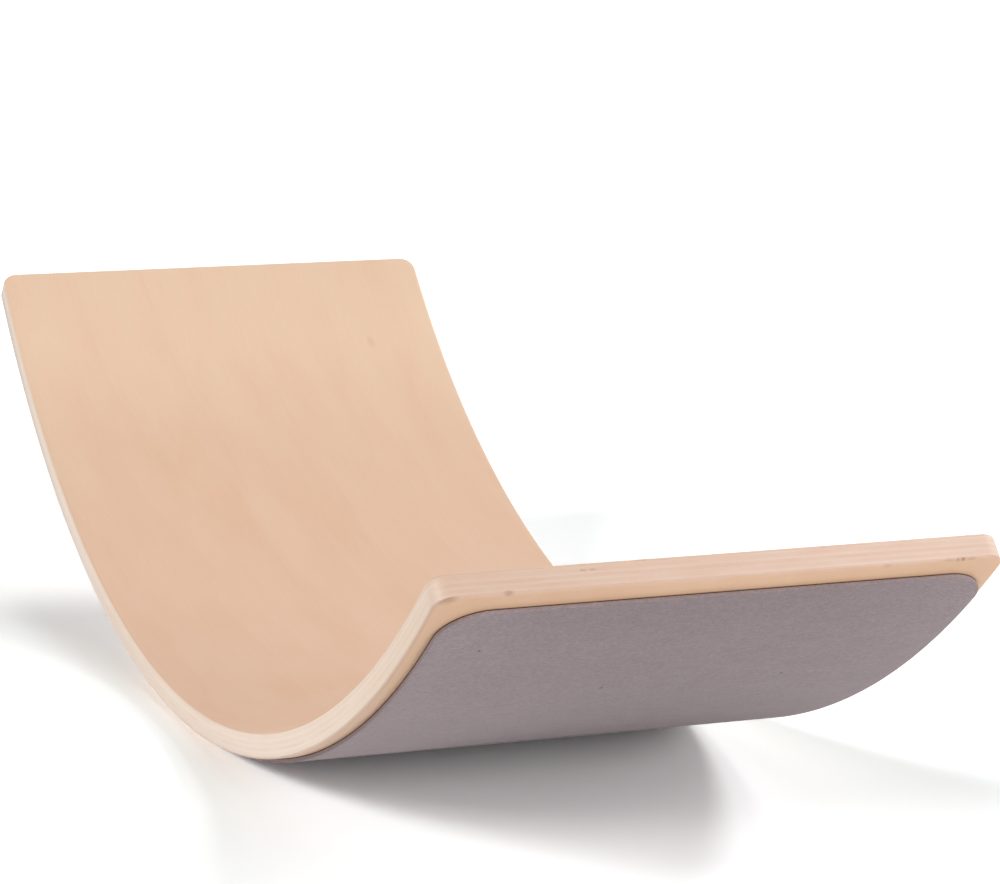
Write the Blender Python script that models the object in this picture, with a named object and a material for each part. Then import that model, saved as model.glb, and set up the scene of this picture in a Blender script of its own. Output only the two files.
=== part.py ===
"""Curved wooden balance board: a moulded plywood rocker with a felt pad on its outer face.

X runs along the board, Y across it and Z up. The board lies hollow side up, as a rocker, and the
origin is under its middle, on the strip of felt that it rests on. Every layer is first made flat,
as a sheet with rounded corners, and is then pressed round the same mould.
"""
import math

import bmesh
import bpy

# Driving dimensions, in metres and degrees
BOARD_WIDTH = 0.300
HOLLOW_RADIUS = 0.635        # mould radius, which the inner face takes
HALF_SPREAD = 44.0           # from the middle of the board to each end
BOARD_CORNER_RADIUS = 0.010  # in the flat outline
EDGE_ROUND = 0.0015          # on the inner and the outer edge, all the way round

VENEER_COUNT = 9
VENEER_THICKNESS = 0.0013
GLUE_LINE = 0.0003           # between one layer and the next

FILM_THICKNESS = 0.0003      # adhesive film that holds the felt
FELT_THICKNESS = 0.0016
FELT_SIDE_MARGIN = 0.0057    # bare wood left along the long sides, were the pad in the middle
FELT_SHIFT = 0.0027          # of the pad toward the right-hand long side
FELT_END_MARGIN = 0.0133     # bare wood left at each end
FELT_CORNER_RADIUS = 0.024
FELT_EDGE_ROUND = 0.0005

# Fineness of the faceted surfaces
FACETS_EACH_SIDE = 22        # of the middle facet, which lies flat on the floor
CORNER_STEPS = 6
ROUND_STEPS = 4

# Colours (linear) and roughness
FACE_VENEER = ((0.76, 0.53, 0.38), 0.42)
LONG_GRAIN = ((0.80, 0.64, 0.50), 0.50)
CROSS_GRAIN = ((0.70, 0.52, 0.38), 0.55)
FILM = ((0.16, 0.10, 0.07), 0.60)
FELT = ((0.28, 0.24, 0.25), 0.95)

# Sizes that follow from the driving dimensions
BOARD_LENGTH = 2 * HOLLOW_RADIUS * math.radians(HALF_SPREAD)
BOARD_THICKNESS = VENEER_COUNT * VENEER_THICKNESS + (VENEER_COUNT - 1) * GLUE_LINE
FILM_DEPTH = BOARD_THICKNESS + GLUE_LINE
FELT_DEPTH = FILM_DEPTH + FILM_THICKNESS + GLUE_LINE
FELT_LENGTH = BOARD_LENGTH - 2 * FELT_END_MARGIN
FELT_WIDTH = BOARD_WIDTH - 2 * FELT_SIDE_MARGIN
BEND_FACETS = 2 * FACETS_EACH_SIDE + 1
FACET_LENGTH = BOARD_LENGTH / BEND_FACETS
SHORTEST_FACET = FACET_LENGTH / 4
FELT_RADIUS = HOLLOW_RADIUS + FELT_DEPTH + FELT_THICKNESS
MOULD_HEIGHT = FELT_RADIUS * math.cos(FACET_LENGTH / HOLLOW_RADIUS / 2)

WELD_DISTANCE = 0.00001


def collection(name):
    """A new collection in the scene."""
    made = bpy.data.collections.new(name)
    bpy.context.scene.collection.children.link(made)
    return made


def material(name, look):
    """A plain material of one colour and roughness."""
    colour, roughness = look
    made = bpy.data.materials.new(name)
    made.use_nodes = True
    shader = made.node_tree.nodes["Principled BSDF"]
    shader.inputs["Base Color"].default_value = (*colour, 1.0)
    shader.inputs["Roughness"].default_value = roughness
    shader.inputs["Metallic"].default_value = 0.0
    return made


def outline_points(length, width, corner):
    """Points of a rectangle with rounded corners, centred on the origin, counter-clockwise."""
    points = []
    for quarter, (side_x, side_y) in enumerate(((1, 1), (-1, 1), (-1, -1), (1, -1))):
        centre_x = side_x * (length / 2 - corner)
        centre_y = side_y * (width / 2 - corner)
        for step in range(CORNER_STEPS + 1):
            angle = math.radians(90 * (quarter + step / CORNER_STEPS))
            points.append((centre_x + corner * math.cos(angle), centre_y + corner * math.sin(angle)))
    return points


def flat_sheet(length, width, corner, thickness, edge_round, edges):
    """A flat sheet as a bmesh, its upper face at Z = 0, with the named edges rounded."""
    curve = bpy.data.curves.new("outline", "CURVE")
    curve.dimensions = "2D"
    curve.fill_mode = "BOTH"
    curve.extrude = thickness / 2
    points = outline_points(length, width, corner)
    spline = curve.splines.new("POLY")
    spline.points.add(len(points) - 1)
    for point, (x, y) in zip(spline.points, points):
        point.co = (x, y, 0.0, 1.0)
    spline.use_cyclic_u = True

    holder = bpy.data.objects.new("outline", curve)
    bpy.context.scene.collection.objects.link(holder)
    depsgraph = bpy.context.evaluated_depsgraph_get()
    mesh = bpy.data.meshes.new_from_object(holder.evaluated_get(depsgraph))
    bpy.data.objects.remove(holder)
    bpy.data.curves.remove(curve)

    sheet = bmesh.new()
    sheet.from_mesh(mesh)
    bpy.data.meshes.remove(mesh)
    bmesh.ops.remove_doubles(sheet, verts=sheet.verts, dist=WELD_DISTANCE)
    bmesh.ops.dissolve_limit(
        sheet, angle_limit=math.radians(1), verts=sheet.verts, edges=sheet.edges
    )
    bmesh.ops.translate(sheet, vec=(0, 0, -thickness / 2), verts=sheet.verts)
    round_edges(sheet, thickness, edge_round, edges)
    return sheet


def round_edges(sheet, thickness, radius, edges):
    """Rounds the rim of the sheet's upper face, its lower face or both."""
    heights = {"upper": 0.0, "lower": -thickness}
    wanted = [heights[name] for name in edges]

    def on_rim(edge):
        return any(
            all(abs(vert.co.z - height) < WELD_DISTANCE for vert in edge.verts) for height in wanted
        )

    rim = [edge for edge in sheet.edges if on_rim(edge)]
    bmesh.ops.bevel(
        sheet,
        geom=rim,
        offset=radius,
        offset_type="OFFSET",
        segments=ROUND_STEPS,
        profile=0.5,
        affect="EDGES",
    )


def all_parts(sheet):
    """Every vertex, edge and face of a bmesh, for an operator that cuts them."""
    return sheet.verts[:] + sheet.edges[:] + sheet.faces[:]


def close_openings(sheet):
    """Closes the openings that a cut has left."""
    rims = [edge for edge in sheet.edges if edge.is_boundary]
    bmesh.ops.holes_fill(sheet, edges=rims, sides=0)


def keep_between(sheet, upper, lower):
    """Keeps the slice of a flat sheet from depth upper down to depth lower."""
    for height, direction in ((-upper, 1), (-lower, -1)):
        bmesh.ops.bisect_plane(
            sheet,
            geom=all_parts(sheet),
            dist=WELD_DISTANCE,
            plane_co=(0, 0, height),
            plane_no=(0, 0, direction),
            clear_outer=True,
        )
        close_openings(sheet)


def bend_stations(length, corner):
    """Places along X where a flat sheet is creased, so that it bends in flat facets."""
    facets = [(index + 1 - BEND_FACETS / 2) * FACET_LENGTH for index in range(BEND_FACETS - 1)]
    last_facet = length / 2 - corner - SHORTEST_FACET
    arc = [
        length / 2 - corner * (1 - math.cos(math.radians(90 * step / CORNER_STEPS)))
        for step in range(1, CORNER_STEPS + 1)
    ]
    corners = [side * place for place in arc for side in (-1, 1)]
    return sorted([place for place in facets if abs(place) < last_facet] + corners)


def press(sheet, depth, length, corner):
    """Bends a flat sheet round the mould. Its upper face lies at the given depth under the inner face."""
    for place in bend_stations(length, corner):
        bmesh.ops.bisect_plane(
            sheet,
            geom=all_parts(sheet),
            dist=WELD_DISTANCE,
            plane_co=(place, 0, 0),
            plane_no=(1, 0, 0),
        )
    for vert in sheet.verts:
        angle = vert.co.x / HOLLOW_RADIUS
        radius = HOLLOW_RADIUS + depth - vert.co.z
        vert.co.x = radius * math.sin(angle)
        vert.co.z = MOULD_HEIGHT - radius * math.cos(angle)


def finished(sheet, name, look, home, parent):
    """Turns a pressed sheet into a named object, smooth on its curved faces."""
    bmesh.ops.recalc_face_normals(sheet, faces=sheet.faces)
    mesh = bpy.data.meshes.new(name)
    sheet.to_mesh(mesh)
    sheet.free()
    mesh.shade_smooth()
    mesh.set_sharp_from_angle(angle=math.radians(30))
    mesh.materials.append(material(name, look))
    piece = bpy.data.objects.new(name, mesh)
    piece.parent = parent
    home.objects.link(piece)
    return piece


def veneer_name(index):
    """Plain name of a veneer, counted from the inner face."""
    if index == 0:
        return "inner_face_veneer"
    if index == VENEER_COUNT - 1:
        return "outer_face_veneer"
    return f"core_veneer_{index}"


def veneer_look(index):
    """Face veneers show their face; in the core, long and cross grain take turns."""
    if index in (0, VENEER_COUNT - 1):
        return FACE_VENEER
    return CROSS_GRAIN if index % 2 else LONG_GRAIN


def make_veneers(home, parent):
    """The plywood: one rounded panel, parted into its veneers before it is pressed."""
    pitch = VENEER_THICKNESS + GLUE_LINE
    for index in range(VENEER_COUNT):
        veneer = flat_sheet(
            BOARD_LENGTH,
            BOARD_WIDTH,
            BOARD_CORNER_RADIUS,
            BOARD_THICKNESS,
            EDGE_ROUND,
            ("upper", "lower"),
        )
        keep_between(veneer, index * pitch, index * pitch + VENEER_THICKNESS)
        press(veneer, 0.0, BOARD_LENGTH, BOARD_CORNER_RADIUS)
        finished(veneer, veneer_name(index), veneer_look(index), home, parent)


def make_pad(home, parent):
    """The felt pad and the adhesive film under it, cut to one outline and laid a little off centre."""
    film = flat_sheet(FELT_LENGTH, FELT_WIDTH, FELT_CORNER_RADIUS, FILM_THICKNESS, 0.0, ())
    bmesh.ops.translate(film, vec=(0, FELT_SHIFT, 0), verts=film.verts)
    press(film, FILM_DEPTH, FELT_LENGTH, FELT_CORNER_RADIUS)
    finished(film, "adhesive_film", FILM, home, parent)

    felt = flat_sheet(
        FELT_LENGTH, FELT_WIDTH, FELT_CORNER_RADIUS, FELT_THICKNESS, FELT_EDGE_ROUND, ("lower",)
    )
    bmesh.ops.translate(felt, vec=(0, FELT_SHIFT, 0), verts=felt.verts)
    press(felt, FELT_DEPTH, FELT_LENGTH, FELT_CORNER_RADIUS)
    finished(felt, "felt_pad", FELT, home, parent)


for old in list(bpy.data.objects):
    bpy.data.objects.remove(old)

balance_board = collection("balance_board")
frame = bpy.data.objects.new("resting_point", None)
frame.empty_display_size = 0.05
balance_board.objects.link(frame)
make_veneers(balance_board, frame)
make_pad(balance_board, frame)
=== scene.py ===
"""Looks of the curved balance board: nine pressed veneers, an adhesive film and a felt pad."""
import math

import bpy
import numpy as np
from mathutils import Matrix, Vector


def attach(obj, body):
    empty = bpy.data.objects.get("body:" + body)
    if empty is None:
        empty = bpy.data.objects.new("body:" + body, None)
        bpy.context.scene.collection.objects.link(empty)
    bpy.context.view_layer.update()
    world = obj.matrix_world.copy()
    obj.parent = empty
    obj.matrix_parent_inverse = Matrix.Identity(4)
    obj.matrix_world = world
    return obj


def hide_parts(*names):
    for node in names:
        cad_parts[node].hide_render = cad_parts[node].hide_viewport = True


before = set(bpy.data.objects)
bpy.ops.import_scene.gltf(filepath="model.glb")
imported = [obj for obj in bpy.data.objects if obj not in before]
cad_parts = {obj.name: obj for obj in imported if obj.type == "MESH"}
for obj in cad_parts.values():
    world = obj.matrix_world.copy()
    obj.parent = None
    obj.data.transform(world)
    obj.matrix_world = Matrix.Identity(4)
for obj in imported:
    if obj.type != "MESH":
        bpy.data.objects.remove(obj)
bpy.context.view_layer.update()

# Face veneer of the hollow side
# A sheet of pale rotary-cut beech, glued to the core and pressed with it round the mould. Its rim
# is sanded to a small round, pale where the cut wood shows, and the face has a matt lacquer.
HOLLOW_RADIUS = 0.635
HALF_SPREAD = math.radians(44.0)
BOARD_LENGTH = 2 * HOLLOW_RADIUS * HALF_SPREAD
BOARD_WIDTH = 0.300
BOARD_CORNER = 0.010
EDGE_ROUND = 0.0015
VENEERS = 9
VENEER_THICKNESS = 0.0013
PITCH = 0.0016
SEAM = 0.00002
BOARD_THICKNESS = (VENEERS - 1) * PITCH + VENEER_THICKNESS
FELT_SURFACE = 0.0166
HUB_HEIGHT = HOLLOW_RADIUS + FELT_SURFACE
SEAM_WANDER = 0.00016
STRAIGHT_STATIONS = 180
CORNER_STATIONS = 15
ROUND_STATIONS = 17
LEAST_STEP = 0.00001


def press(flat):
    """Bends flat points (along, across, depth) round the mould.

    The angle is the distance along divided by the hollow's radius, and the radius there is the
    hollow's plus the depth, measured from a hub above the middle of the board.
    """
    angle = flat[:, 0] / HOLLOW_RADIUS
    radius = HOLLOW_RADIUS + flat[:, 2]
    height = HUB_HEIGHT - radius * np.cos(angle)
    return np.stack([radius * np.sin(angle), flat[:, 1], height], axis=1)


def outline_grid(length, width, corner, inset, columns):
    """A rounded rectangle as a grid of flat points and the turn of its rim at each station.

    A station's place is the straight's between the corner centres plus (corner - inset) times the
    sine of its turn, and its half width is the corner centres' plus (corner - inset) times the
    cosine. The turn is 0 on the straight and grows to a quarter circle at each end. Columns are
    shares of the half width.
    """
    straight = np.linspace(-(length / 2 - corner), length / 2 - corner, STRAIGHT_STATIONS)
    arc = np.linspace(0, math.pi / 2, CORNER_STATIONS)[1:]
    ends = np.full(len(arc), length / 2 - corner)
    centre = np.concatenate([-ends, straight, ends])
    turn = np.concatenate([-arc[::-1], np.zeros(len(straight)), arc])
    along = centre + (corner - inset) * np.sin(turn)
    half = width / 2 - corner + (corner - inset) * np.cos(turn)
    across = half[:, None] * np.asarray(columns)
    return np.stack([np.broadcast_to(along[:, None], across.shape), across], axis=2), turn


def rim_of(grid):
    """The border of a grid, once round, counter-clockwise seen from above."""
    return np.concatenate([grid[:-1, 0], grid[-1, :-1], grid[:0:-1, -1], grid[0, :0:-1]])


def pressed_sheet(name, length, width, corner, rows, columns=(-1, -0.97, 0, 0.97, 1), shift=0.0):
    """A closed sheet whose rim follows rows of (depth, inset, upright), pressed round the mould.

    The first and the last row carry the two faces. The vector attribute "flat" keeps each point's
    place before the press, and "facing" how far the rim there faces along and across the board:
    upright, which is 0 on a face and 1 on a square edge, times the sine and cosine of the turn.
    """
    grids, turns = zip(*(outline_grid(length, width, corner, row[1], columns) for row in rows))
    turn = np.broadcast_to(np.abs(turns[0])[:, None], grids[0].shape[:2])
    numbers = np.arange(turn.size).reshape(turn.shape)
    border = rim_of(numbers)
    rim_turn = rim_of(turn)
    ends_square = np.stack([np.sin(rim_turn), np.cos(rim_turn), np.zeros(len(border))], axis=1)

    face_facing = np.zeros((turn.size, 3))
    points, facings, loops, count = [], [], [], 0
    for index, (grid, (depth, inset, upright)) in enumerate(zip(grids, rows)):
        if index in (0, len(rows) - 1):
            whole = np.c_[grid.reshape(-1, 2), np.full(turn.size, depth)]
            facing = face_facing.copy()
            facing[border] = upright * ends_square
            loops.append(count + border)
        else:
            ring = rim_of(grid)
            whole = np.c_[ring, np.full(len(ring), depth)]
            facing = upright * ends_square
            loops.append(count + np.arange(len(ring)))
        points.append(whole)
        facings.append(facing)
        count += len(whole)

    quads = np.stack([numbers[:-1, :-1], numbers[1:, :-1], numbers[1:, 1:], numbers[:-1, 1:]], axis=2)
    quads = quads.reshape(-1, 4)
    faces = [quads, count - turn.size + quads[:, ::-1]]
    for upper, lower in zip(loops[:-1], loops[1:]):
        faces.append(np.stack([upper, lower, np.roll(lower, -1), np.roll(upper, -1)], axis=1))
    flat = np.concatenate(points)
    flat[:, 1] += shift

    mesh = bpy.data.meshes.new(name)
    mesh.from_pydata(press(wandered(flat)).tolist(), [], np.concatenate(faces).tolist())
    for label, values in (("flat", flat), ("facing", np.concatenate(facings))):
        mesh.attributes.new(label, "FLOAT_VECTOR", "POINT").data.foreach_set("vector", values.ravel())
    mesh.shade_smooth()
    mesh.set_sharp_from_angle(angle=math.radians(25))
    piece = bpy.data.objects.new(name, mesh)
    bpy.context.scene.collection.objects.link(piece)
    return piece


def wandered(flat):
    """Lets the seams between the plies wander a little, as in pressed veneer of uneven thickness.

    The depth gains SEAM_WANDER times the sine of the half turn from face to face, times the mean
    of three long waves that run slantwise over the board.
    """
    along, across, depth = flat.T
    waves = (np.sin(41 * along + 23 * across + 260 * depth)
             + np.sin(67 * along - 38 * across + 1.9 + 410 * depth)
             + np.sin(17 * along + 71 * across + 4.4 - 330 * depth)) / 3
    inside = np.clip(depth / BOARD_THICKNESS, 0, 1)
    return np.stack([along, across, depth + SEAM_WANDER * np.sin(math.pi * inside) * waves], axis=1)


def veneer_rows(index):
    """Rows of one veneer's rim, from its upper seam to its lower one.

    Within a round, the inset is EDGE_ROUND times 1 - sin(a) and the depth into the board is
    EDGE_ROUND times 1 - cos(a), with the turn a in even steps; there the rim is upright by sin(a).
    """
    top = index * PITCH
    bottom = min(top + PITCH - SEAM, BOARD_THICKNESS)
    steps = EDGE_ROUND * (1 - np.cos(np.linspace(0, math.pi / 2, ROUND_STATIONS)))
    between = np.concatenate([steps, BOARD_THICKNESS - steps[::-1]])
    between = between[(between > top + LEAST_STEP) & (between < bottom - LEAST_STEP)]
    depths = np.concatenate([[top], between, [bottom]])
    into = np.maximum(EDGE_ROUND - depths, depths - (BOARD_THICKNESS - EDGE_ROUND)).clip(0, EDGE_ROUND)
    upright = np.sqrt(1 - (into / EDGE_ROUND) ** 2)
    return np.stack([depths, EDGE_ROUND * (1 - upright), upright], axis=1)


class Look:
    """The node tree of one material, built up by methods that add nodes and return an output."""

    def __init__(self, name):
        self.material = bpy.data.materials.new(name)
        self.material.use_nodes = True
        self.tree = self.material.node_tree
        self.shader = self.tree.nodes["Principled BSDF"]

    def node(self, kind, inputs, output=0, **settings):
        """A node of a kind, with its settings, and its inputs set to values or linked."""
        made = self.tree.nodes.new(kind)
        for name, value in settings.items():
            setattr(made, name, value)
        self.feed(made, inputs)
        return made.outputs[output]

    def feed(self, node, inputs):
        """Sets or links inputs of a node, named or numbered."""
        for name, value in inputs.items():
            if isinstance(value, bpy.types.NodeSocket):
                self.tree.links.new(value, node.inputs[name])
            else:
                node.inputs[name].default_value = value

    def attribute(self, name):
        """A vector attribute of the mesh."""
        return self.node("ShaderNodeAttribute", {}, "Vector", attribute_name=name)

    def maths(self, operation, *values):
        """Arithmetic on one to three numbers."""
        return self.node("ShaderNodeMath", dict(enumerate(values)), operation=operation)

    def times(self, first, second):
        """The product of two numbers."""
        return self.maths("MULTIPLY", first, second)

    def squared(self, value):
        """The square of a number that isn't negative."""
        return self.maths("POWER", value, 2.0)

    def parts(self, vector):
        """The three numbers of a vector."""
        split = self.tree.nodes.new("ShaderNodeSeparateXYZ")
        self.feed(split, {0: vector})
        return tuple(split.outputs)

    def vector(self, operation, *values, output=0):
        """Arithmetic on vectors."""
        return self.node("ShaderNodeVectorMath", dict(enumerate(values)), output, operation=operation)

    def spread(self, value, low, high, to_low=0.0, to_high=1.0, curve="LINEAR"):
        """A number moved from one range to another and kept in it."""
        ranges = {"Value": value, 1: low, 2: high, 3: to_low, 4: to_high}
        return self.node("ShaderNodeMapRange", ranges, interpolation_type=curve)

    def noise(self, place, size, detail=2.0, roughness=0.5):
        """Cloudy noise around 0.5, whose cells have the given sizes in metres."""
        cell = self.vector("DIVIDE", place, size)
        inputs = {"Vector": cell, "Scale": 1.0, "Detail": detail, "Roughness": roughness}
        return self.node("ShaderNodeTexNoise", inputs)

    def cells(self, place, size, output="Distance"):
        """Distance to, or colour of, the nearest of scattered points, sizes in metres."""
        cell = self.vector("DIVIDE", place, size)
        return self.node("ShaderNodeTexVoronoi", {"Vector": cell, "Scale": 1.0}, output)

    def mix(self, factor, first, second, blend="MIX"):
        """One colour turned into another by a factor from 0 to 1."""
        inputs = {0: factor, 6: first, 7: second}
        return self.node("ShaderNodeMix", inputs, 2, data_type="RGBA", blend_type=blend)

    def tint(self, colour, tint, factor=1.0):
        """A colour multiplied by a tint, as strongly as a factor from 0 to 1 says."""
        return self.mix(factor, colour, tint, "MULTIPLY")

    def spots(self, place, spots):
        """How strongly a place is stained by soft spots, each (centre, half sizes, strength)."""
        stained = 0.0
        for centre, half, strength in spots:
            offset = self.vector("DIVIDE", self.vector("SUBTRACT", place, centre), half)
            far = self.vector("LENGTH", offset, output="Value")
            stained = self.maths("MAXIMUM", stained, self.spread(far, 0.3, 1.0, strength, 0.0))
        return stained

    def bump(self, height, distance, strength=1.0):
        """A bumped surface direction; height is a number and distance what 1 means in metres."""
        return self.node("ShaderNodeBump", {"Height": height, "Distance": distance, "Strength": strength})


def grain_of(look, place, along, across, depth, ply):
    """A point's place in the grain (along it, across it, depth), and the part across it alone.

    The grain runs slantwise by a small share of the way along and wanders by a few centimetres,
    and each ply starts elsewhere across the log.
    """
    wander = look.noise(place, (0.35, 0.35, 1.0), detail=1.0)
    slant = look.maths("MULTIPLY_ADD", along, -0.085, across)
    drift = look.maths("MULTIPLY_ADD", wander, 0.05, slant)
    own = look.maths("MULTIPLY_ADD", ply, 0.37, drift)
    return look.node("ShaderNodeCombineXYZ", {0: along, 1: own, 2: depth}), own


def sanded_side(look, lengthwise, depth):
    """Colour of a sanded long edge.

    Its painted light is 1.07 less 0.85 times the squared distance from near the middle: a painted
    shade toward both ends of the edge. It turns tan toward the near end, and its outer half has a
    painted grey shade toward the far end.
    """
    # Painted light along the edge, palest near the middle, and painted grey shade on its outer half
    # toward the far end
    off_middle = look.maths("SUBTRACT", lengthwise, 0.05)
    painted_side_light = look.maths("MULTIPLY_ADD", look.times(off_middle, off_middle), -0.85, 1.07)
    painted_far_shade = look.times(look.spread(depth, 0.005, BOARD_THICKNESS), look.spread(lengthwise, -0.15, -0.42))
    shade = look.tint((0.826, 0.685, 0.585, 1), painted_side_light)
    shade = look.tint(shade, (0.74, 0.68, 0.70, 1), painted_far_shade)
    return look.tint(shade, (0.985, 0.93, 0.87, 1), look.spread(lengthwise, 0.10, 0.42))


def sanded_end(look, place, widthwise):
    """Colour of a sanded end, pinker in patches and paler toward the far long side."""
    pink = look.spread(look.noise(place, (0.03, 0.03, 0.004), 3.0), 0.35, 0.7)
    shade = look.mix(pink, (0.878, 0.662, 0.539, 1), (0.868, 0.614, 0.496, 1))
    crossing = look.spread(widthwise, -0.12, 0.10)
    return look.tint(shade, look.mix(crossing, (0.94, 0.93, 0.91, 1), (1.06, 1.07, 1.09, 1)))


def face_colour(look, lengthwise, colour, middle_painted_shade):
    """Colour of a face: palest at the far end, and tinted from that end's quarter on."""
    # Painted light: the face is painted paler toward the far end, and with painted shade from that end's
    # quarter on
    middle = tuple(part * tint for part, tint in zip(colour, middle_painted_shade))
    far_end = tuple(part * tint for part, tint in zip(colour, (1.105, 1.155, 1.18)))
    face = look.mix(look.spread(lengthwise, -0.30, -0.12), (*colour, 1), (*middle, 1))
    at_far_end = look.spread(lengthwise, -0.44, -0.30, 1.0, 0.0, "SMOOTHSTEP")
    return look.mix(at_far_end, face, (*far_end, 1))


def ragged_spots(look, spots, place, pattern, size, detail, reach):
    """How strongly a place is marked by spots whose borders a noise shifts by up to the reach."""
    noise = look.noise(pattern, size, detail)
    shift = look.maths("MULTIPLY_ADD", noise, 2 * reach, -reach)
    return look.spots(look.vector("ADD", place, shift), spots)


def wood(name, colour, crosswise=False, stains=(), blushes=(), rim_tint_and_shade=(1, 1, 1), middle_painted_shade=(1, 1, 1)):
    """Matt-lacquered beech as a solid texture on the flat board; crosswise turns its grain.

    The colour is the face's. Cut and sanded edges are paler, and pinker at the ends. Stains are
    small and brown, and blushes wide and reddish. The tints multiply: the rim's tint the rim, in full
    at the far end only, which on the outer veneer is a painted grey shade, and the middle one the
    face, from the far end's quarter on, as painted shade.
    """
    look = Look(name)
    place = look.attribute("flat")
    facing = look.attribute("facing")
    lengthwise, widthwise, depth = look.parts(place)
    to_end, to_side = look.parts(facing)[:2]
    edge_on = look.vector("LENGTH", facing, output="Value")
    along, across = (widthwise, lengthwise) if crosswise else (lengthwise, widthwise)
    plies_down = look.maths("DIVIDE", look.maths("ADD", depth, SEAM), PITCH)
    ply = look.maths("FLOOR", plies_down)
    grain, own = grain_of(look, place, along, across, depth, ply)

    # Face, and rim where it turns upright
    sanded = look.mix(look.squared(to_end), sanded_side(look, lengthwise, depth),
                      sanded_end(look, place, widthwise))
    # Rim tint, in full at the far end and 0.6 at the near end: on the outer veneer a painted grey shade
    sanded = look.tint(sanded, (*rim_tint_and_shade, 1), look.spread(lengthwise, -0.35, 0.1, 1.0, 0.6))
    face = face_colour(look, lengthwise, colour, middle_painted_shade)
    shade = look.mix(look.spread(edge_on, 0.25, 0.9), face, sanded)

    # Mottling, and growth figure with one sharp border
    mottling = look.noise(grain, (0.09, 0.028, 0.02), 2.0)
    tone = look.mix(look.spread(mottling, 0.35, 0.68), (1.01, 1.02, 1.01, 1), (0.995, 0.968, 0.945, 1))
    phase = look.maths("MULTIPLY_ADD", look.noise(grain, (0.22, 0.05, 1.0), 3.0), 1.3,
                       look.times(own, 17.0))
    figure = look.spread(look.maths("FRACT", phase), 0.25, 1.0, 0.0, 1.0, "SMOOTHSTEP")
    tone = look.tint(tone, (0.98, 0.955, 0.935, 1), look.times(figure, 0.4))
    shade = look.tint(shade, tone)

    # Long streaks, fine fibres and each ply's own tone
    streaks = look.noise(grain, (0.11, 0.0022, 0.0011), 3.0, 0.6)
    fibres = look.noise(grain, (0.012, 0.00035, 0.0003), 2.0)
    light = look.times(look.spread(streaks, 0.25, 0.75, 0.99, 1.01),
                       look.spread(fibres, 0.25, 0.75, 0.987, 1.013))
    own_tone = look.node("ShaderNodeTexWhiteNoise", {"W": look.maths("ADD", ply, 3.7)},
                         noise_dimensions="1D")
    light = look.times(light, look.spread(own_tone, 0.0, 1.0, 0.99, 1.01))
    shade = look.tint(shade, light)

    # Rays show as short brown spindles along the grain
    spindle_size = (0.0030, 0.00085, 0.0007)
    spindle = look.spread(look.cells(grain, spindle_size), 0.10, 0.26, 1.0, 0.0)
    strength = look.node("ShaderNodeSeparateColor", {0: look.cells(grain, spindle_size, "Color")})
    ray = look.times(spindle, look.spread(strength, 0.35, 0.9))
    shade = look.tint(shade, (0.86, 0.77, 0.70, 1), look.times(ray, 0.55))

    # End grain takes up more lacquer and is darker, with open pores
    cut = look.squared(to_side if crosswise else to_end)
    pores = look.spread(look.cells(place, (0.00022,) * 3), 0.15, 0.45, 1.0, 0.0)
    end_grain = (0.988, 0.980, 0.970, 1) if crosswise else (0.968, 0.952, 0.940, 1)
    end_tone = look.mix(look.times(pores, 0.2), end_grain, (0.80, 0.72, 0.66, 1))
    shade = look.tint(shade, end_tone, cut)

    # Dark thread of glue along each seam, broken up
    off_seam = look.maths("PINGPONG", look.maths("FRACT", plies_down), 0.5)
    near_seam = look.spread(off_seam, 0.02, 0.09, 1.0, 0.0)
    broken = look.spread(look.noise(place, (0.006, 0.006, 0.02), 3.0), 0.42, 0.6)
    glue = look.times(look.times(near_seam, broken), edge_on)
    shade = look.tint(shade, (0.78, 0.66, 0.56, 1), look.times(glue, 0.13))

    # Knots and chips, and wide blushes
    if stains:
        stain = ragged_spots(look, stains, place, place, (0.0012, 0.0012, 0.0008), 2.0, 0.0008)
        shade = look.mix(stain, shade, (0.33, 0.15, 0.075, 1))
    if blushes:
        blush = ragged_spots(look, blushes, place, grain, (0.03, 0.006, 0.01), 3.0, 0.025)
        shade = look.tint(shade, (0.985, 0.915, 0.86, 1), blush)

    sheen = look.spread(look.noise(place, (0.05, 0.02, 0.02), 3.0), 0.3, 0.7, 0.40, 0.50)
    height = look.maths("ADD", look.times(streaks, 0.5), fibres)
    height = look.maths("SUBTRACT", height, look.times(ray, 0.4))
    look.feed(look.shader, {
        "Base Color": shade,
        "Roughness": look.maths("MULTIPLY_ADD", cut, 0.08, sheen),
        "Normal": look.bump(height, 0.00003, 0.5),
        "Coat Weight": 0.12,
        "Coat Roughness": 0.35,
    })
    return look.material


def veneer(name, index, node, look):
    """One veneer of the panel in place of its CAD node."""
    piece = pressed_sheet(name, BOARD_LENGTH, BOARD_WIDTH, BOARD_CORNER, veneer_rows(index))
    piece.data.materials.append(look)
    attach(piece, "root")
    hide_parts(node)


NEAR_END = BOARD_LENGTH / 2
# Its middle tint is painted shade on the face from the far end's quarter on; its rim tint is a yellowish
# colour
inner_wood = wood("lacquered_inner_veneer", (0.814, 0.558, 0.396), stains=[
    ((NEAR_END, -0.0425, 0.0008), (0.0030, 0.0045, 0.0009), 0.35),
    ((-0.4119, 0.0999, 0.0), (0.0075, 0.0035, 0.0005), 0.13),
], blushes=[
    ((-0.300, -0.062, 0.0), (0.050, 0.024, 0.1), 0.45),
    ((-0.255, -0.048, 0.0), (0.055, 0.026, 0.1), 0.50),
    ((-0.262, 0.012, 0.0), (0.045, 0.022, 0.1), 0.40),
    ((-0.222, 0.025, 0.0), (0.050, 0.020, 0.1), 0.50),
    ((0.010, -0.075, 0.0), (0.035, 0.030, 0.1), 0.45),
], rim_tint_and_shade=(1.0, 0.95, 0.87), middle_painted_shade=(0.97, 0.935, 0.93))
veneer("hollow_side_veneer", 0, "inner_face_veneer", inner_wood)

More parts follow.
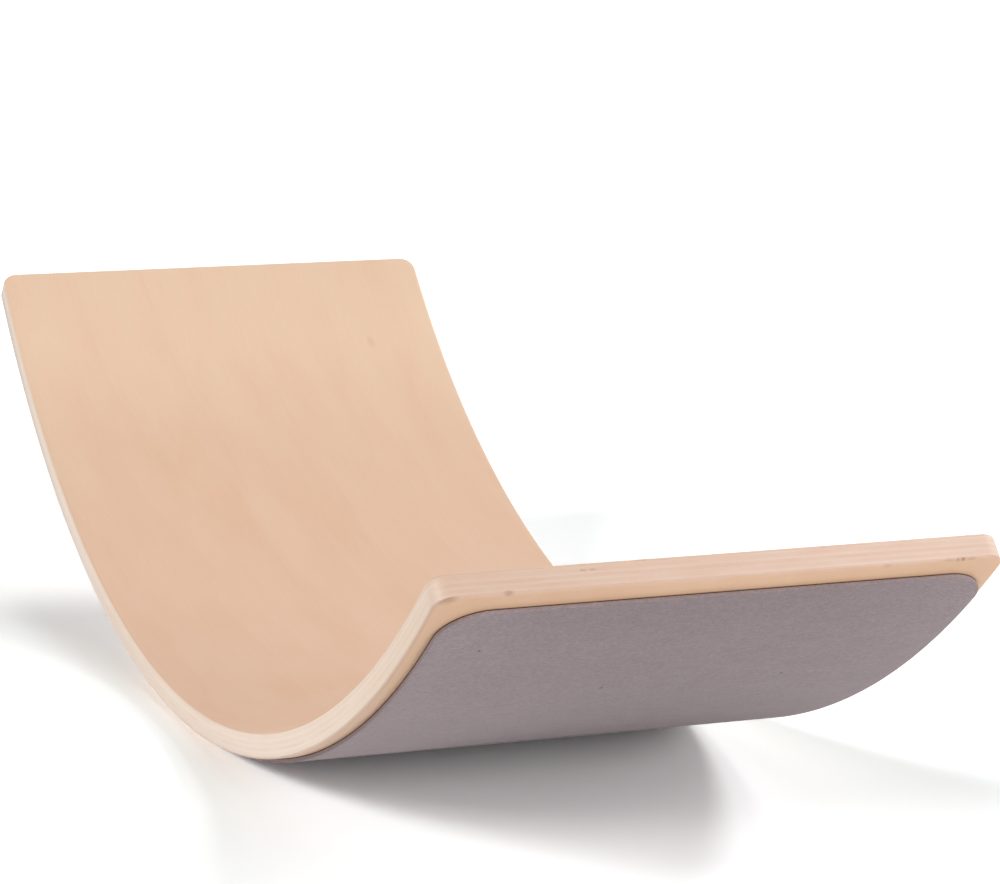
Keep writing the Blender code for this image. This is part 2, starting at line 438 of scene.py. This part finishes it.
# Core plies
# Seven veneers glued crosswise by turns, so each shows side grain on the long edges where its
# neighbours show end grain, and the reverse at the ends. Small knots and gaps reach the near end,
# and one low knot runs on into the outer face veneer.
LOW_KNOT = ((NEAR_END, -0.1135, 0.0132), (0.0030, 0.0034, 0.0017), 0.50)
long_grain = wood("core_veneer_long_grain", (0.80, 0.64, 0.50), stains=[
    ((NEAR_END, -0.0738, 0.0042), (0.0030, 0.0024, 0.0009), 0.34),
    ((NEAR_END, -0.0690, 0.0041), (0.0030, 0.0024, 0.0009), 0.34),
])
cross_grain = wood("core_veneer_cross_grain", (0.80, 0.64, 0.50), True, stains=[LOW_KNOT])
for index in range(1, VENEERS - 1):
    look = cross_grain if index % 2 else long_grain
    veneer(f"core_ply_{index}", index, f"core_veneer_{index}", look)

# Face veneer of the outer side
# The same beech as on the hollow side, a little redder. Only a margin of it shows round the felt.
# Its rim is sanded to the same small round, where small knots and chips at the near end show.
# Its rim tint is a painted grey shade on the outer rim, in full at the far end
outer_wood = wood("lacquered_outer_veneer", (0.869, 0.556, 0.357), stains=[
    ((NEAR_END - 0.0015, -0.1440, 0.0136), (0.0050, 0.0070, 0.0011), 0.55),
    LOW_KNOT,
    ((NEAR_END - 0.0008, 0.0842, 0.0140), (0.0020, 0.0032, 0.0014), 0.22),
    ((NEAR_END - 0.0004, 0.1185, 0.0136), (0.0020, 0.0045, 0.0009), 0.26),
    ((NEAR_END - 0.0004, 0.1228, 0.0136), (0.0020, 0.0016, 0.0011), 0.55),
    ((NEAR_END - 0.0004, 0.1257, 0.0136), (0.0020, 0.0019, 0.0013), 0.75),
    ((NEAR_END - 0.0004, 0.1300, 0.0136), (0.0020, 0.0040, 0.0009), 0.34),
], rim_tint_and_shade=(0.80, 0.72, 0.72))
veneer("outer_side_veneer", VENEERS - 1, "outer_face_veneer", outer_wood)

# Adhesive film
# A dark-brown film laid over the outer veneer, which holds the felt. It is cut with the felt to
# one outline, so only its edge shows, as a dark line round the pad.
FELT_END_MARGIN = 0.0133
FELT_SIDE_MARGIN = 0.0057
FELT_LENGTH = BOARD_LENGTH - 2 * FELT_END_MARGIN
FELT_WIDTH = BOARD_WIDTH - 2 * FELT_SIDE_MARGIN
FELT_SHIFT = 0.0027
FELT_CORNER = 0.024
FELT_BACK = 0.0147

film_look = Look("dark_brown_film")
film_tone = film_look.noise(film_look.attribute("flat"), (0.004, 0.004, 0.0005), 3.0)
film_look.feed(film_look.shader, {
    "Base Color": film_look.mix(film_tone, (0.030, 0.014, 0.008, 1), (0.075, 0.040, 0.025, 1)),
    "Roughness": 0.65,
    "Normal": film_look.bump(film_tone, 0.00005),
})
film = pressed_sheet("felt_adhesive", FELT_LENGTH, FELT_WIDTH, FELT_CORNER,
                     [(BOARD_THICKNESS + SEAM, 0.0, 1.0), (FELT_BACK - SEAM, 0.0, 1.0)], shift=FELT_SHIFT)
film.data.materials.append(film_look.material)
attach(film, "root")
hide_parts("adhesive_film")

# Felt pad
# Pressed grey felt with a slight violet cast, die-cut with round corners and laid on the film a
# little off centre. Its cut edge is square at the back and softly rounded at the front.
felt_look = Look("pressed_grey_felt")
felt_place = felt_look.attribute("flat")
felt_lengthwise, felt_widthwise = felt_look.parts(felt_place)[:2]

# Tangled fibres, two layers of curled strands, flecks, clumps and wide patches
tangle = felt_look.noise(felt_place, (0.0007, 0.0007, 0.0007), 3.0, 0.6)
curl = felt_look.vector("MULTIPLY_ADD", felt_look.node("ShaderNodeTexNoise", {
    "Vector": felt_place, "Scale": 300.0, "Detail": 1.0}, 1), (0.003,) * 3, felt_place)
strands = felt_look.noise(curl, (0.0004, 0.0022, 0.0004), 2.0, 0.65)
cross_strands = felt_look.noise(curl, (0.0020, 0.0004, 0.0004), 2.0, 0.65)
flecks = felt_look.noise(felt_place, (0.0011, 0.0024, 0.001), 1.0)
clumps = felt_look.noise(felt_place, (0.006, 0.014, 0.01), 3.0)
patches = felt_look.noise(felt_place, (0.05, 0.09, 0.05), 2.0)
felt_shade = felt_look.mix(felt_look.spread(tangle, 0.3, 0.7), (0.313, 0.248, 0.265, 1),
                           (0.392, 0.323, 0.328, 1))

# Painted light and shade: the felt is a little darker near the middle of the width and toward the near
# end, and paler toward the long sides
off_shade_middle = felt_look.maths("SUBTRACT", felt_widthwise, 0.015)
painted_felt_shade = felt_look.maths("MULTIPLY_ADD", felt_look.times(off_shade_middle, off_shade_middle), 8.0, 0.955)
painted_shade_and_fibres = felt_look.times(painted_felt_shade, felt_look.spread(felt_lengthwise, 0.38, 0.46, 1.0, 0.93))
for value, reach in ((strands, 0.08), (cross_strands, 0.07), (flecks, 0.11), (clumps, 0.04),
                     (patches, 0.04)):
    swing = felt_look.spread(value, 0.25, 0.75, 1 - reach, 1 + reach)
    painted_shade_and_fibres = felt_look.times(painted_shade_and_fibres, swing)
felt_shade = felt_look.tint(felt_shade, painted_shade_and_fibres)

# Scattered dark lint, and three specks on the near end
lint = felt_look.spread(felt_look.cells(felt_place, (0.011, 0.013, 0.01)), 0.02, 0.05, 0.5, 0.0)
lint = felt_look.maths("MAXIMUM", lint, felt_look.spots(felt_place, [
    ((0.3659, 0.0742, FELT_SURFACE), (0.0022, 0.0012, 0.01), 0.8),
    ((0.4352, -0.1139, FELT_SURFACE), (0.0016, 0.0011, 0.01), 0.8),
    ((0.3673, -0.0266, FELT_SURFACE), (0.0022, 0.0012, 0.01), 0.8),
]))
felt_shade = felt_look.mix(lint, felt_shade, (0.10, 0.075, 0.075, 1))
felt_height = felt_look.maths("ADD", tangle, felt_look.maths("ADD", strands, cross_strands))
felt_look.feed(felt_look.shader, {
    "Base Color": felt_shade,
    "Roughness": 0.95,
    "Specular IOR Level": 0.2,
    "Sheen Weight": 0.25,
    "Sheen Roughness": 0.5,
    "Sheen Tint": (0.9, 0.86, 0.9, 1),
    "Normal": felt_look.bump(felt_height, 0.00012, 0.6),
})

# At a turn of a, the rim is short of the face by FELT_ROUND times 1 - sin(a), its inset is
# FELT_ROUND times 1 - cos(a), and it is upright by cos(a)
FELT_ROUND = 0.0005
felt_rows = [(FELT_BACK, 0.0, 1.0)]
for turn in np.linspace(0, math.pi / 2, 7):
    depth = FELT_SURFACE - FELT_ROUND * (1 - math.sin(turn))
    felt_rows.append((depth, FELT_ROUND * (1 - math.cos(turn)), math.cos(turn)))
felt = pressed_sheet("grey_felt", FELT_LENGTH, FELT_WIDTH, FELT_CORNER, felt_rows, shift=FELT_SHIFT)
felt.data.materials.append(felt_look.material)
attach(felt, "root")
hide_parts("felt_pad")

# Floor
# Pale seamless paper, wide enough to fill the view. The camera sees it as a paler tone, so that it
# comes out white round the board and keeps the board's shadow.
def in_view(tree):
    """1 for a ray of the camera, and for one that a gloss or a clear piece shows, and 0 for the rest."""
    ray = tree.nodes.new("ShaderNodeLightPath")
    shown = ray.outputs["Is Camera Ray"]
    for kind in ("Is Glossy Ray", "Is Transmission Ray"):
        either = tree.nodes.new("ShaderNodeMath")
        either.operation = "MAXIMUM"
        tree.links.new(shown, either.inputs[0])
        tree.links.new(ray.outputs[kind], either.inputs[1])
        shown = either.outputs[0]
    return shown


FLOOR_REACH = 30
PAPER = (0.90, 0.90, 0.90, 1)
PAPER_IN_VIEW = (1.61, 1.65, 1.64, 1)
floor_corners = [(x * FLOOR_REACH, y * FLOOR_REACH, 0) for x, y in ((-1, -1), (1, -1), (1, 1), (-1, 1))]
floor_mesh = bpy.data.meshes.new("studio_floor")
floor_mesh.from_pydata(floor_corners, [], [(0, 1, 2, 3)])
floor = bpy.data.objects.new("studio_floor", floor_mesh)
bpy.context.scene.collection.objects.link(floor)
paper = Look("floor_paper")
paper_tone = paper.mix(in_view(paper.tree), PAPER, PAPER_IN_VIEW)
matt = paper.node("ShaderNodeBsdfDiffuse", {"Color": paper_tone})
paper.feed(paper.tree.nodes["Material Output"], {"Surface": matt})
floor.data.materials.append(paper.material)

# Studio light
# Seven distant soft lamps stand low round the board: most of the light comes over its near end and
# over its two long sides. Each has an azimuth, counted from the near long side toward the near end,
# a height and a width in degrees, and a strength.
LAMPS = (
    ("near_end_low", 120, 18, 20, 1.34),
    ("near_end_high", 120, 38, 20, 0.42),
    ("far_end_low", 330, 18, 20, 0.60),
    ("front", 0, 30, 11, 1.01),
    ("front_turned", 30, 30, 11, 0.65),
    ("back", 210, 30, 11, 1.33),
    ("back_high", 210, 45, 11, 0.33),
)
for name, azimuth, height, width, power in LAMPS:
    lamp_data = bpy.data.lights.new(name, "SUN")
    lamp_data.energy = power
    lamp_data.angle = math.radians(width)
    lamp = bpy.data.objects.new(name, lamp_data)
    turned, raised = math.radians(azimuth), math.radians(height)
    toward = Vector((math.sin(turned) * math.cos(raised), -math.cos(turned) * math.cos(raised),
                     math.sin(raised)))
    lamp.rotation_euler = toward.to_track_quat("Z", "Y").to_euler()
    bpy.context.scene.collection.objects.link(lamp)

# The air is white in view and in what the lacquer reflects, and gives no other light
world = bpy.data.worlds.new("studio")
bpy.context.scene.world = world
world.use_nodes = True
air = world.node_tree
air.links.new(in_view(air), air.nodes["Background"].inputs["Strength"])
air.nodes["Background"].inputs["Color"].default_value = (1, 1, 1, 1)

# Camera
# A long lens from the near end, a little to the side and above the board. Its distance, shift to
# the right and shift up count from the middle of the hollow, which is FELT_SURFACE over the floor.
AZIMUTH = math.radians(69.151)
ELEVATION = math.radians(12.022)
ROLL = math.radians(1.020)
DISTANCE = 2.18712
TO_RIGHT = 0.05110
TO_TOP = 0.13871
LENS = 130.52
back = Vector((math.sin(AZIMUTH) * math.cos(ELEVATION),
               -math.cos(AZIMUTH) * math.cos(ELEVATION), math.sin(ELEVATION)))
right = (-back).cross(Vector((0, 0, 1))).normalized()
up = right.cross(-back)
turned_right = right * math.cos(ROLL) + up * math.sin(ROLL)
turned_up = up * math.cos(ROLL) - right * math.sin(ROLL)
standpoint = back * DISTANCE + turned_right * TO_RIGHT + turned_up * TO_TOP
standpoint.z += FELT_SURFACE
camera_data = bpy.data.cameras.new("camera")
camera_data.sensor_width = 36
camera_data.lens = LENS
camera = bpy.data.objects.new("camera", camera_data)
bpy.context.scene.collection.objects.link(camera)
aim = Matrix((turned_right, turned_up, back)).transposed().to_4x4()
camera.matrix_world = Matrix.Translation(standpoint) @ aim
bpy.context.scene.camera = camera
bpy.context.scene.view_settings.view_transform = "Standard"
